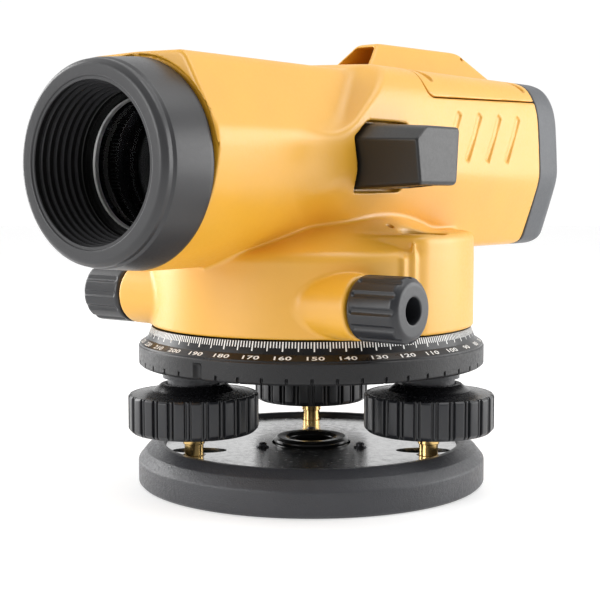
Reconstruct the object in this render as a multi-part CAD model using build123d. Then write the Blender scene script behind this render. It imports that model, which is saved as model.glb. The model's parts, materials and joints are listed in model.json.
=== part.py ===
from build123d import *
from math import cos, pi, radians, sin
import os

# An automatic level for building surveys. Millimetres. +Z is up, the vertical axis is X = Y = 0 and
# the base plate stands on Z = 0. The telescope looks along -Y, so the eyepiece is at +Y. The bull's-eye
# bubble and its prism are on the +X side and the focusing knob is on the -X side.

os.makedirs("parts", exist_ok=True)

# ---- driving dimensions ----
BASE_R = 55.9              # round base plate
BASE_RIM_Z = 13.1
SPRING_Z = (10.4, 11.6)    # polished spring plate in the base
SPRING_SCREW_R = 18.0
FOOT_CIRCLE_R = 42.0       # circle through the three foot screws
FOOT_ANGLES = (127.3, 247.3, 7.3)
KNOB_R = 20.1
KNOB_Z = (19.2, 31.2)
KNOB_GROOVES = 24
STEM_R = 3.5               # threaded part of a foot screw
RUN = 0.06                 # radial clearance of every running fit
CIRCLE_R = 55.5            # graduated horizontal circle
CIRCLE_Z = (38.2, 50.4)
CIRCLE_BORE_R = 45.8
DRUM_R = 52.0              # lower drum of the head
DRUM_Z = (50.8, 80.7)
CAVITY_R = 46.5
TANGENT_Y, TANGENT_Z = -33.9, 60.4
WORM_STARTS_PITCH = 2 * pi * 29.0 / 72   # worm pitch that suits 72 teeth on a 29 mm radius
SIGHT_Z = 100.5            # height of the telescope's line of sight
BARREL_Y = (-79.0, -27.0)
BOX_Y = (-4.0, 92.0)
BORE_R = 24.5
SEAM_Z = 124.2             # joint between the housing and its top cover
COVER_Y = 19.5
SIGHT_BORE_Z = 137.4
FOCUS_Y, FOCUS_Z = 25.0, 98.0
PINION_R, PINION_TEETH = 4.0, 10
VIAL = (43.0, -1.0)
HANG_Z = 118.0             # hinge line of the compensator


# ---- shape helpers ----
def block(x0, x1, y0, y1, z0, z1):
    """A box between two corners."""
    return Pos((x0 + x1) / 2, (y0 + y1) / 2, (z0 + z1) / 2) * Box(x1 - x0, y1 - y0, z1 - z0)


def cyl(r, z0, z1, x=0.0, y=0.0):
    """An upright cylinder."""
    return Pos(x, y, (z0 + z1) / 2) * Cylinder(r, z1 - z0)


def tube(r_out, r_in, z0, z1, x=0.0, y=0.0):
    """An upright tube."""
    return cyl(r_out, z0, z1, x, y) - cyl(r_in, z0 - 1, z1 + 1, x, y)


def rod_x(r, x0, x1, y, z):
    """A cylinder along X."""
    return Pos((x0 + x1) / 2, y, z) * Rot(0, 90, 0) * Cylinder(r, x1 - x0)


def rod_y(r, y0, y1, x=0.0, z=SIGHT_Z):
    """A cylinder along Y, on the line of sight unless told otherwise."""
    return Pos(x, (y0 + y1) / 2, z) * Rot(90, 0, 0) * Cylinder(r, y1 - y0)


def turned(points):
    """A solid of revolution about the vertical axis, from (radius, height) points."""
    return revolve(Plane.XZ * make_face(Polyline(*points, close=True)), Axis.Z)


def turned_y(points):
    """A solid of revolution about the line of sight, from (radius, y) points."""
    face = make_face(Polyline(*[(r, y, SIGHT_Z) for r, y in points], close=True))
    return revolve(face, Axis((0, 0, SIGHT_Z), (0, 1, 0)))


def section(half, y):
    """A face across the telescope at y, mirrored from its (x, z) half outline at +X."""
    outline = half + [(-x, z) for x, z in reversed(half) if x > 0]
    return make_face(Polyline(*[(x, y, z) for x, z in outline], close=True))


def along(half, y0, y1):
    """The section carried straight along Y."""
    return extrude(section(half, y0), amount=y1 - y0, dir=(0, 1, 0))


def taper(half0, y0, half1, y1):
    """The section changing evenly from one outline to another."""
    return loft([section(half0, y0), section(half1, y1)], ruled=True)


def at_feet(shape):
    """Copies of a shape, made about the vertical axis, at the three foot screws."""
    return [
        Pos(FOOT_CIRCLE_R * cos(radians(a)), FOOT_CIRCLE_R * sin(radians(a)), 0) * shape
        for a in FOOT_ANGLES
    ]


def ring_of(shape, r, count, start=0.0):
    """Copies of a shape, made about the vertical axis, evenly spaced on a circle."""
    turns = [radians(start + 360 / count * i) for i in range(count)]
    return [Pos(r * cos(a), r * sin(a), 0) * shape for a in turns]


def grooved(r, count, width, depth):
    """A round outline with straight grooves across its edge."""
    slots = PolarLocations(r, count) * Rectangle(2 * depth, width)
    return Circle(r) - slots


def save(shape, node):
    """Write one node's solids."""
    solids = shape if isinstance(shape, list) else [shape]
    solids = [s for part in solids for s in part.solids()]
    export_step(Compound(children=solids) if len(solids) > 1 else solids[0], f"parts/{node}.step")


# Half outlines of the telescope housing, (x, z) from the top middle to the bottom middle.
BARREL = [(0, 131.0), (18.6, 130.6), (22.2, 124.4), (30.3, 109.5), (30.3, 97), (27.6, 87.4),
          (21.4, 78.8), (12.6, 72.8), (0, 70.4)]
BODY = [(0, 133.2), (26.0, 132.4), (32.3, 125.6), (33.9, 112), (34.0, 98), (31.0, 87.2),
        (26.9, 75.6), (24.4, 73.6), (0, 73.6)]

# The chamber behind the telescope's bore, inside the same housing.
CHAMBER = [(0, 127.5), (24.0, 127.5), (29.0, 122.0), (30.2, 111), (30.2, 98), (27.6, 88.6),
           (24.2, 78.6), (0, 78.6)]


def scaled(half, k):
    """A half outline shrunk towards the line of sight."""
    return [(x * k, SIGHT_Z + (z - SIGHT_Z) * k) for x, z in half]


# ---- base ----
def make_base_plate():
    """The pan-shaped casting that screws down on a tripod."""
    plate = turned([
        (12.2, 1.0), (40, 1.0), (41, 0), (55.0, 0), (BASE_R, 0.9), (BASE_R, 7.8), (53.4, 10.9),
        (49.6, BASE_RIM_Z), (47.9, BASE_RIM_Z), (47.3, 12.3), (47.3, SPRING_Z[0]),
        (44.5, SPRING_Z[0]), (44.5, 4.2), (12.2, 4.2),
    ])
    plate += at_feet(cyl(7.4, 1.0, SPRING_Z[0]))
    plate -= at_feet(cyl(5.6, 3.0, 14))
    return plate + ring_of(cyl(3.0, 4.0, SPRING_Z[0]), SPRING_SCREW_R, 3, FOOT_ANGLES[2])


def make_spring_plate():
    """The sprung steel disc that holds the foot screws' ball ends down."""
    plate = tube(47.1, 12.8, *SPRING_Z) - at_feet(cyl(3.7, 9, 13))
    slot = Pos(-14.0, 0, 9) * extrude(Ellipse(4.3, 8.6), amount=4)
    return plate - [Rot(0, 0, FOOT_ANGLES[0]) * Pos(0, side * 35.3, 0) * slot for side in (-1, 1)]


def make_spring_screws():
    """Three pan-head screws that hold the spring plate."""
    head = cyl(2.1, SPRING_Z[1], SPRING_Z[1] + 1.5) - block(-3, 3, -0.3, 0.3, SPRING_Z[1] + 0.9, 14)
    return ring_of(head, SPRING_SCREW_R, 3, FOOT_ANGLES[2])


def make_tripod_bush():
    """The boss with the tripod screw's hole."""
    return turned([
        (7.1, 0), (12.2, 0), (12.2, 11.8), (11.6, 14.2), (11.0, 14.8), (8.0, 14.8), (7.1, 13.9),
    ])


def make_foot_seats():
    """Cups that hold the ball ends of the foot screws."""
    cup = cyl(5.6, 3.0, 10.2) - Pos(0, 0, 8.2) * Sphere(4.3)
    return at_feet(cup)


# ---- foot screws ----
def make_foot_stem():
    """A foot screw's brass stem: ball end, neck, collar and threaded part."""
    ball = Pos(0, 0, 8.2) * Sphere(4.0)
    return ball + cyl(2.95, 8.2, 16) + cyl(3.4, 15.2, 19.4) + cyl(STEM_R, 19.3, 36.4)


def make_foot_knob():
    """The grooved hand knob on a foot screw, open at the top for the tribrach's boss."""
    profile = turned([
        (STEM_R, KNOB_Z[0]), (18.6, KNOB_Z[0]), (KNOB_R, 20.6), (KNOB_R, 30.2), (19.2, KNOB_Z[1]),
        (12.2, 32.4), (9.9, 34.2), (8.4, 34.2), (8.4, 25.5), (STEM_R, 25.5),
    ])
    return profile & Pos(0, 0, 18) * extrude(grooved(KNOB_R, KNOB_GROOVES, 1.9, 0.9), amount=18)


# ---- tribrach ----
def make_tribrach():
    """The three-armed carrier on the foot screws, with the bearing column in its middle."""
    discs = [Pos(FOOT_CIRCLE_R * cos(radians(a)), FOOT_CIRCLE_R * sin(radians(a))) * Circle(9.4)
             for a in FOOT_ANGLES]
    arms = Pos(0, 0, 36.0) * extrude(make_hull([e for d in discs for e in d.edges()]), amount=2.0)
    body = arms + cyl(45.72, 37.9, 46.0) + cyl(20, 45, 66)
    body += at_feet(cyl(8.0, 29.0, 36.5))
    body -= cyl(13.0, 26, 67)
    return body - at_feet(cyl(5.4, 28, 38.0))


def make_foot_nuts():
    """Brass nuts in the tribrach's bosses for the foot screws."""
    return at_feet(tube(5.4, STEM_R + RUN, 29.0, 38.0))


def make_axis_bush():
    """The bronze bearing of the vertical axis."""
    return tube(13.0, 9.0 + RUN, 36.0, 66.0)


def make_circle():
    """The loose graduated circle, turned by its edge."""
    ring = turned([
        (CIRCLE_BORE_R, 38.6), (54.7, CIRCLE_Z[0]), (CIRCLE_R, 38.9), (CIRCLE_R, 44.4), (55.0, 45.4),
        (54.2, 46.1), (52.35, 47.1), (51.3, CIRCLE_Z[1]), (49.6, CIRCLE_Z[1]), (48.9, 46.4),
        (CIRCLE_BORE_R, 46.0),
    ])
    return ring - ring_of(cyl(0.8, 37.0, 41.4), CIRCLE_R + 0.1, 48)


# ---- head ----
def make_telescope():
    """The outside of the telescope housing as one solid, before it is divided."""
    return (
        along(BARREL, BARREL_Y[0], BARREL_Y[1] + 0.01)
        + taper(BARREL, BARREL_Y[1], BODY, BOX_Y[0])
        + along(BODY, BOX_Y[0] - 0.01, BOX_Y[1])
    )


def make_housing(telescope):
    """The main casting: drum, tangent screw bosses and telescope body."""
    drum = cyl(DRUM_R, *DRUM_Z)
    slope = turned([(DRUM_R + 1, 74.5), (DRUM_R + 1, 90), (36.0, 90), (36.0, 82.3)])
    drum -= slope & block(-60, 60, -60, -20, 70, 95)
    cavity = cyl(CAVITY_R, 50, 69.0)
    bosses = rod_x(9.5, -44.2, 44.2, TANGENT_Y, TANGENT_Z) - block(-19, 19, -60, 0, 40, 80)
    body = drum + telescope - cavity + bosses - cyl(CAVITY_R, 50, 53.1)
    body -= rod_x(10.2, 44.3, 60, TANGENT_Y, TANGENT_Z) + rod_x(10.2, -60, -44.3, TANGENT_Y, TANGENT_Z)
    body -= rod_y(BORE_R, -80, 16)
    body -= along(CHAMBER, 15, 93)
    body -= rod_x(6.0, -45, 45, TANGENT_Y, TANGENT_Z)
    body -= rod_x(6.0, -40, -28, FOCUS_Y, FOCUS_Z)
    body -= cyl(7.0, 70.0, 82, *VIAL)
    body -= block(-40, 40, COVER_Y, 93, SEAM_Z, 140)
    return body


def make_bottom_plate():
    """The plate that closes the drum from below."""
    plate = tube(46.4, 20.6, 50.8, 53.0)
    return plate - ring_of(cyl(1.6, 50, 54), 41.0, 4, 45)


def make_bottom_screws():
    """Screws that hold the drum's bottom plate."""
    return ring_of(cyl(1.6, 51.0, 53.0), 41.0, 4, 45)


def make_spindle():
    """The steel spindle that turns in the tribrach."""
    return cyl(9.0, 32.6, 66.8) + cyl(18.0, 66.6, 69.0)


def make_axis_nut():
    """The nut that keeps the spindle in the tribrach."""
    nut = extrude(RegularPolygon(11.5, 6), amount=3.2)
    return Pos(0, 0, 32.6) * nut - cyl(9.0, 32, 37)


def level(front, y0, rear, y1, z):
    """A level four-sided face, front and rear being its half widths, for lofting."""
    return make_face(Polyline((-front, y0, z), (front, y0, z), (rear, y1, z), (-rear, y1, z), close=True))


def make_top_cover(telescope):
    """The lid over the compensator, with the peep sight on its ridge."""
    cover = telescope & block(-40, 40, COVER_Y + 0.1, 92, SEAM_Z + 0.1, 140)
    cover -= block(-26.0, 26.0, COVER_Y + 3, 91, 120, 129.8)
    cover += loft([level(8.4, 19.6, 12.6, 92, 132.4), level(4.4, 31, 8.4, 77, 142.6)], ruled=True)
    cover -= make_cover_screws()
    cover -= loft([level(6.6, 15, 6.6, 42, 133.8), level(3.6, 15, 3.6, 42, 141.2)], ruled=True)
    return cover - rod_y(2.6, 40, 95, 0, SIGHT_BORE_Z)


def make_cover_screws():
    """Screws that hold the top cover."""
    return [cyl(1.5, 131.0, 133.4, x, y) for x, y in ((-16, 30), (16, 30), (-16, 86), (16, 86))]


def make_rear_cover():
    """The cap that closes the housing behind the compensator."""
    cap = along(BODY, 92.1, 105.5) + taper(BODY, 105.49, scaled(BODY, 0.9), 109.5)
    cap -= along(scaled(BODY, 0.9), 92.0, 103.0)
    return cap - rod_y(12.0, 90, 112)


def make_hood():
    """The sunshade in front of the objective, with stepped rings inside."""
    outside = [(26.0, -96.3), (26.9, -95.6), (27.3, -94.2), (27.3, -92.8), (28.2, -92.2), (29.0, -80.6),
               (29.0, -79.6)]
    inside = [(20.4, -79.6)]
    steps = [(22.5 - 0.3 * i, -95.9 + 2.3 * i) for i in range(7)]
    for radius, start in reversed(steps):
        inside += [(radius, start + 2.3), (radius, start + 0.5), (radius - 0.5, start)]
    return turned_y(outside + inside)


def make_hood_seal():
    """The dark gasket between the hood and the housing."""
    return turned_y([(24.0, -79.6), (28.6, -79.6), (28.6, -79.0), (24.0, -79.0)])


def make_objective_cell():
    """The tube that holds the objective lenses."""
    return turned_y([
        (20.0, -78.9), (BORE_R, -78.9), (BORE_R, -52.0), (22.0, -52.0), (22.0, -60.0), (20.0, -60.0),
    ])


def lens(r, y0, y1, bulge0, bulge1):
    """A round lens; a positive bulge is a convex face and a negative one is hollow."""
    steps = [i / 8 for i in range(9)]
    front = [(r * t, y0 - bulge0 * (1 - t * t)) for t in steps]
    back = [(r * t, y1 + bulge1 * (1 - t * t)) for t in reversed(steps)]
    return turned_y(front + back)


def make_lens_retainer():
    """The bright threaded ring in front of the objective lens."""
    return turned_y([(18.2, -77.4), (20.0, -77.4), (20.0, -74.9), (18.8, -74.9), (18.2, -75.6)])


# ---- bubble and prism ----
def make_vial_case():
    """The black cup round the bull's-eye bubble."""
    cup = cyl(7.0, 70.0, 78.6, *VIAL) - cyl(5.9, 71.4, 82, *VIAL)
    return cup - make_vial_screws()


def make_vial_glass():
    """The glass vial with its domed top."""
    dome = Pos(VIAL[0], VIAL[1], 78.2 - 24.0) * Sphere(24.0)
    return cyl(5.9, 71.4, 80, *VIAL) & dome


def make_vial_screws():
    """Adjusting screws under the bubble."""
    return [Pos(*VIAL, 0) * screw for screw in ring_of(cyl(1.2, 70.2, 71.4), 4.5, 3, 30)]


def make_prism_housing():
    """The black box that shows the bubble to an observer behind the telescope."""
    outline = [(34.1, -20.6), (52.6, -20.6), (54.0, -19.2), (54.0, 1.2), (52.8, 2.4), (34.1, 4.6)]
    box = Pos(0, 0, 95.0) * extrude(make_face(Polyline(*outline, close=True)), amount=17.0)
    chamfer = make_face(Polyline((30, -21, 107.8), (30, -21, 113), (30, -14.2, 113), close=True))
    box -= extrude(chamfer, amount=30, dir=(1, 0, 0))
    box -= block(37.0, 51.6, -12.5, 1.0, 94, 109.6)
    return box - block(37.8, 50.8, 0.5, 6, 97.4, 109.0)


def make_penta_prism():
    """The glass prism inside that box."""
    outline = [(-11.6, 96.4), (0.4, 96.4), (0.4, 108.4), (-8.0, 109.2), (-12.2, 104.6)]
    face = make_face(Polyline(*[(37.1, y, z) for y, z in outline], close=True))
    return extrude(face, amount=14.4, dir=(1, 0, 0))


# ---- inside the telescope ----
def make_carriage():
    """The sliding tube of the focusing lens, with its rack."""
    slide = turned_y([(17.0, -14.0), (BORE_R - RUN, -14.0), (BORE_R - RUN, 4.0), (17.0, 4.0)])
    rack = block(-21.8, -17.6, 3.0, 39.5, FOCUS_Z - 8.0, FOCUS_Z - PINION_R - 0.9)
    pitch = 2 * pi * PINION_R / PINION_TEETH
    for i in range(-5, 6):
        y = FOCUS_Y + (i + 0.5) * pitch
        tooth = [(y - 0.85, -5.0), (y + 0.85, -5.0), (y + 0.25, -3.25), (y - 0.25, -3.25)]
        face = make_face(Polyline(*[(-21.8, a, FOCUS_Z + b) for a, b in tooth], close=True))
        rack += extrude(face, amount=4.2, dir=(1, 0, 0))
    return slide + rack


def make_focus_shaft():
    """The focusing knob's shaft with its pinion."""
    pinion = Circle(3.0)
    for i in range(PINION_TEETH):
        tooth = make_face(Polyline((2.6, -0.95), (2.6, 0.95), (4.75, 0.25), (4.75, -0.25), close=True))
        pinion += Rot(0, 0, 360 / PINION_TEETH * i) * tooth
    along_x = Plane(origin=(-21.9, FOCUS_Y, FOCUS_Z), x_dir=(0, 0, -1), z_dir=(1, 0, 0))
    shaft = along_x * extrude(pinion, amount=4.4)
    return shaft + rod_x(2.4, -30, -21.8, FOCUS_Y, FOCUS_Z) + rod_x(3.0, -60.0, -29.0, FOCUS_Y, FOCUS_Z)


def make_focus_knob():
    """The ribbed focusing knob."""
    along_x = Plane(origin=(-62.5, FOCUS_Y, FOCUS_Z), x_dir=(0, 0, -1), z_dir=(1, 0, 0))
    knob = along_x * extrude(grooved(16.5, 30, 1.5, 0.8), amount=24.0)
    return knob - rod_x(3.0, -60.0, -36, FOCUS_Y, FOCUS_Z) - rod_x(13.5, -42.0, -36, FOCUS_Y, FOCUS_Z)


def make_compensator_frame():
    """The bridge that the pendulum hangs in."""
    frame = block(-22, 22, 50, 78, 79, 122) - block(-19, 19, 49, 79, 82, 119)
    return frame


def make_magnets():
    """Damping magnets either side of the pendulum's tail."""
    return [block(-19.0, -9.0, 58, 70, 82, 86), block(9.0, 19.0, 58, 70, 82, 86)]


def make_pendulum():
    """The hanging prism carrier of the compensator."""
    body = block(-16, 16, 55, 73, 88, 113) - rod_y(9.5, 50, 80)
    body -= block(-11.6, 11.6, 57, 71, 89.6, 111.4)
    return body + block(-8.0, 8.0, 62, 66, 83, 88.5)


def make_pendulum_prism():
    """The glass roof prism on the pendulum."""
    outline = [(57.5, 90.0), (70.5, 90.0), (70.5, 111.0), (57.5, 111.0), (61.5, 100.5)]
    face = make_face(Polyline(*[(-11.6, y, z) for y, z in outline], close=True))
    return extrude(face, amount=23.2, dir=(1, 0, 0))


def make_wires():
    """The four thin suspension strips of the pendulum."""
    strip = block(-0.6, 0.6, -0.1, 0.1, 113.0, 118.8)
    return [Pos(x, y, 0) * strip for x in (-12, 12) for y in (63.0, 65.0)]


# ---- eyepiece ----
def make_eyepiece_mount():
    """The bulkhead behind the compensator and the tube of the eyepiece."""
    plate = block(-24.0, 24.0, 88.6, 91.4, 80, 122)
    return plate + rod_y(12.0, 88.6, 115.0) - rod_y(9.5, 80, 120)


def make_reticle_ring():
    """The ring that carries the reticle."""
    return turned_y([(6.8, 92.0), (9.5, 92.0), (9.5, 95.0), (7.6, 95.0), (7.6, 93.4), (6.8, 93.4)])


def make_diopter_ring():
    """The ribbed ring that focuses the eyepiece."""
    outline = grooved(15.6, 36, 1.1, 0.5)
    along_y = Plane(origin=(0, 117.0, SIGHT_Z), x_dir=(1, 0, 0), z_dir=(0, -1, 0))
    return along_y * extrude(outline, amount=7.0) - rod_y(12.0 + RUN, 108, 120)


def make_eyecup():
    """The soft eyecup on the eyepiece."""
    return turned_y([
        (9.6, 115.6), (12.0, 115.6), (12.0, 117.0), (14.8, 117.0), (14.4, 119.6), (12.2, 120.2), (9.6, 118.0),
    ])


def make_eye_cell():
    """The sliding lens tube in the eyepiece."""
    outer = 9.5 - RUN
    return turned_y([(7.6, 98.0), (outer, 98.0), (outer, 110.5), (8.4, 110.5), (8.4, 107.5), (7.6, 107.5)])


# ---- tangent screw ----
def make_tangent_shaft():
    """The long shaft of the horizontal slow motion, with its worm."""
    shaft = rod_x(3.0, -52.0, 52.0, TANGENT_Y, TANGENT_Z) + rod_x(3.8, -9.5, 9.5, TANGENT_Y, TANGENT_Z)
    pitch, turns = WORM_STARTS_PITCH, 6
    lay = Plane(origin=(-turns / 2 * pitch, TANGENT_Y, TANGENT_Z), x_dir=(0, 1, 0), z_dir=(1, 0, 0))
    path = Helix(pitch=pitch, height=turns * pitch, radius=3.6)
    profile = Plane.XZ * make_face(Polyline((3.5, -0.7), (5.8, -0.3), (5.8, 0.3), (3.5, 0.7), close=True))
    thread = sweep(profile, path=path, is_frenet=True)
    return shaft + lay * thread


def make_tangent_knob(side):
    """One of the two fluted knobs of the slow motion; side is 1 at +X and -1 at -X."""
    outline = Circle(9.44) - PolarLocations(9.9, 12) * Circle(1.0)
    start = 44.6 if side > 0 else -61.2
    lay = Plane(origin=(start, TANGENT_Y, TANGENT_Z), x_dir=(0, 1, 0), z_dir=(1, 0, 0))
    knob = lay * extrude(outline, amount=16.6)
    knob -= rod_x(3.0, side * 44 if side > 0 else -52, 52 if side > 0 else -44, TANGENT_Y, TANGENT_Z)
    hole = (52.0, 62.0) if side > 0 else (-62.0, -52.0)
    return knob - rod_x(3.8, *hole, TANGENT_Y, TANGENT_Z)


def make_worm_wheel():
    """The toothed wheel that is clutched to the tribrach's column."""
    gash = make_face(Polyline((27.7, -0.6), (30.5, -1.0), (30.5, 1.0), (27.7, 0.6), close=True))
    gashes = [Rot(0, 0, 5 * i) * gash for i in range(72)]
    outline = Circle(29.8) - Circle(20.0 + RUN) - gashes
    return Pos(0, 0, TANGENT_Z - 2.5) * extrude(outline, amount=5.0)


telescope = make_telescope()
save(make_base_plate(), "base_plate")
save(make_spring_plate(), "spring_plate")
save(make_spring_screws(), "spring_plate_screws")
save(make_tripod_bush(), "tripod_bush")
save(make_foot_seats(), "foot_seats")
for letter, stem, knob in zip("abc", at_feet(make_foot_stem()), at_feet(make_foot_knob())):
    save(stem, f"foot_stem_{letter}")
    save(knob, f"foot_knob_{letter}")
save(make_tribrach(), "tribrach")
save(make_foot_nuts(), "foot_nuts")
save(make_axis_bush(), "axis_bush")
save(make_circle(), "horizontal_circle")
save(make_housing(telescope), "head_housing")
save(make_bottom_plate(), "bottom_plate")
save(make_bottom_screws(), "bottom_plate_screws")
save(make_spindle(), "axis_spindle")
save(make_axis_nut(), "axis_nut")
save(make_top_cover(telescope), "top_cover")
save(make_cover_screws(), "cover_screws")
save(make_rear_cover(), "rear_cover")
save(make_hood(), "objective_hood")
save(make_hood_seal(), "hood_seal")
save(make_objective_cell(), "objective_cell")
save(lens(20.0, -74.5, -70.5, 1.6, 1.2), "objective_lens_front")
save(lens(20.0, -67.5, -63.5, 0.6, 1.2), "objective_lens_rear")
save(make_lens_retainer(), "lens_retainer")
save(make_vial_case(), "vial_case")
save(make_vial_glass(), "vial_glass")
save(make_vial_screws(), "vial_screws")
save(make_prism_housing(), "prism_housing")
save(make_penta_prism(), "penta_prism")
save([rod_y(2.6, y, y + 1.4, 0, SIGHT_BORE_Z) for y in (42.5, 78.6)], "sight_lenses")
save(make_eyepiece_mount(), "eyepiece_mount")
save(rod_y(7.6, 93.4, 94.6), "reticle")
save(make_reticle_ring(), "reticle_ring")
save(make_compensator_frame(), "compensator_frame")
save(make_magnets(), "damping_magnets")
save([rod_x(6.0, x, x + 24.6, TANGENT_Y, TANGENT_Z) - rod_x(3.0 + RUN, x - 1, x + 26, TANGENT_Y, TANGENT_Z)
      for x in (-44.0, 19.4)], "tangent_bushes")
save(rod_x(6.0, -37.5, -28.9, FOCUS_Y, FOCUS_Z) - rod_x(3.0 + RUN, -38, -28, FOCUS_Y, FOCUS_Z), "focus_bush")
save(make_pendulum(), "pendulum")
save(make_pendulum_prism(), "pendulum_prism")
save(make_wires(), "suspension_strips")
save(make_focus_shaft(), "focus_shaft")
save(make_focus_knob(), "focus_knob")
save(make_carriage(), "focus_carriage")
save(lens(17.0, -10.0, -6.0, -1.0, -1.0), "focus_lens")
save(make_tangent_shaft(), "tangent_shaft")
save(make_tangent_knob(1), "tangent_knob_left")
save(make_tangent_knob(-1), "tangent_knob_right")
save(make_worm_wheel(), "worm_wheel")
save(make_diopter_ring(), "diopter_ring")
save(make_eyecup(), "eyecup")
save(make_eye_cell(), "eye_cell")
save(lens(7.6, 100.0, 102.5, 0.8, 0.8), "eye_lens")
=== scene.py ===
import json
import math

import bpy
import numpy as np
import openvdb
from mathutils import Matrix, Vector


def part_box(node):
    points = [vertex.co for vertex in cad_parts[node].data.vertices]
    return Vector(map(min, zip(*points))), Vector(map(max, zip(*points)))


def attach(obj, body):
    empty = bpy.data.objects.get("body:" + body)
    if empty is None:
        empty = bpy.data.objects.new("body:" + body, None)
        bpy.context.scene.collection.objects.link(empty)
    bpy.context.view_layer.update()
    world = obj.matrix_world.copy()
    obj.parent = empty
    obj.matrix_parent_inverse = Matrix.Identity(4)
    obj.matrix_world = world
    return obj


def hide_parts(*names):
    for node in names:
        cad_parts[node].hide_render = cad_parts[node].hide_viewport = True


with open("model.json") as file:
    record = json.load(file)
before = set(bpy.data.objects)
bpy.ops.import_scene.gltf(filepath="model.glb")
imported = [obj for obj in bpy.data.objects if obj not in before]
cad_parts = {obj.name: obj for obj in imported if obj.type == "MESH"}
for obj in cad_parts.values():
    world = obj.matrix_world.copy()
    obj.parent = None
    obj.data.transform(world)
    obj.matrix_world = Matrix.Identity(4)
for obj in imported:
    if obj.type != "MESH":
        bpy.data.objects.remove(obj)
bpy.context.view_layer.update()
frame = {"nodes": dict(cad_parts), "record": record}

# Lengths below are millimetres, in the frame's axes; MM turns them into Blender's metres.
MM = 0.001
NODES = frame["nodes"]


def mm_box(node):
    """A CAD node's corners in millimetres."""
    low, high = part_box(node)
    return np.array(low) / MM, np.array(high) / MM


# ---- distances to simple shapes, negative inside ----
def smin(a, b, k):
    """Two shapes together, with the join rounded over about k."""
    h = np.maximum(k - np.abs(a - b), 0.0) / k
    return np.minimum(a, b) - h * h * k * 0.25


def smax(a, b, k):
    """The common part of two shapes, with its edge rounded over about k."""
    return -smin(-a, -b, k)


def slab(p, low, high, r=0.0):
    """A box with rounded edges."""
    low, high = np.array(low, float)[:, None], np.array(high, float)[:, None]
    q = np.abs(p - (low + high) / 2) - (high - low) / 2 + r
    return np.sqrt((np.maximum(q, 0) ** 2).sum(0)) + np.minimum(q.max(0), 0) - r


def plane(p, point, normal):
    """The half space behind a plane."""
    n = np.array(normal, float)
    n /= np.linalg.norm(n)
    return n @ (p - np.array(point, float)[:, None])


def facet(p, a, b, c, inside):
    """The half space behind the plane through three points, with a given point inside it."""
    a, b, c, inside = (np.array(v, float) for v in (a, b, c, inside))
    n = np.cross(b - a, c - a)
    return plane(p, a, n if (inside - a) @ n < 0 else -n)


def rod(p, a, b, r, k=0.4):
    """A cylinder from a to b with rounded rims."""
    a, b = np.array(a, float), np.array(b, float)
    length = np.linalg.norm(b - a)
    n = (b - a) / length
    q = p - a[:, None]
    t = n @ q
    side = np.sqrt(np.maximum((q * q).sum(0) - t * t, 0)) - r
    return smax(side, np.abs(t - length / 2) - length / 2, k)


def capsule(p, a, b, r):
    """A rod with round ends."""
    a, b = np.array(a, float)[:, None], np.array(b, float)[:, None]
    t = np.clip(((p - a) * (b - a)).sum(0) / ((b - a) ** 2).sum(), 0, 1)
    return np.sqrt(((p - a - t * (b - a)) ** 2).sum(0)) - r


def outline(u, v, points, rounding):
    """A convex outline given clockwise from its top middle, each corner rounded by its own amount."""
    far = None
    for (a, b), k in zip(zip(points, points[1:]), rounding):
        du, dv = b[0] - a[0], b[1] - a[1]
        edge = ((u - a[0]) * -dv + (v - a[1]) * du) / np.hypot(du, dv)
        far = edge if far is None else smax(far, edge, k)
    return far


# ---- surfaces of those shapes ----
def spread(field, p, chunk=400000):
    """The distance at many points, a part at a time."""
    return np.concatenate([field(p[:, i:i + chunk]) for i in range(0, p.shape[1], chunk)])


def gradient(field, p, eps):
    """The direction in which the distance grows."""
    rows = []
    for axis in range(3):
        step = np.zeros((3, 1))
        step[axis] = eps
        rows.append(spread(field, p + step) - spread(field, p - step))
    return np.array(rows) / (2 * eps)


BLOCK = 8  # samples along each edge of a block
HALF_DIAGONAL = 0.87  # of a cube, in its own edges
OVERSTATED = 1.35  # a blended distance can be too large by this factor
FIT_EPS, NORMAL_EPS = 0.03, 0.12  # half the spacing of the samples a gradient is taken from
FIT_ROUNDS = 3


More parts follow.
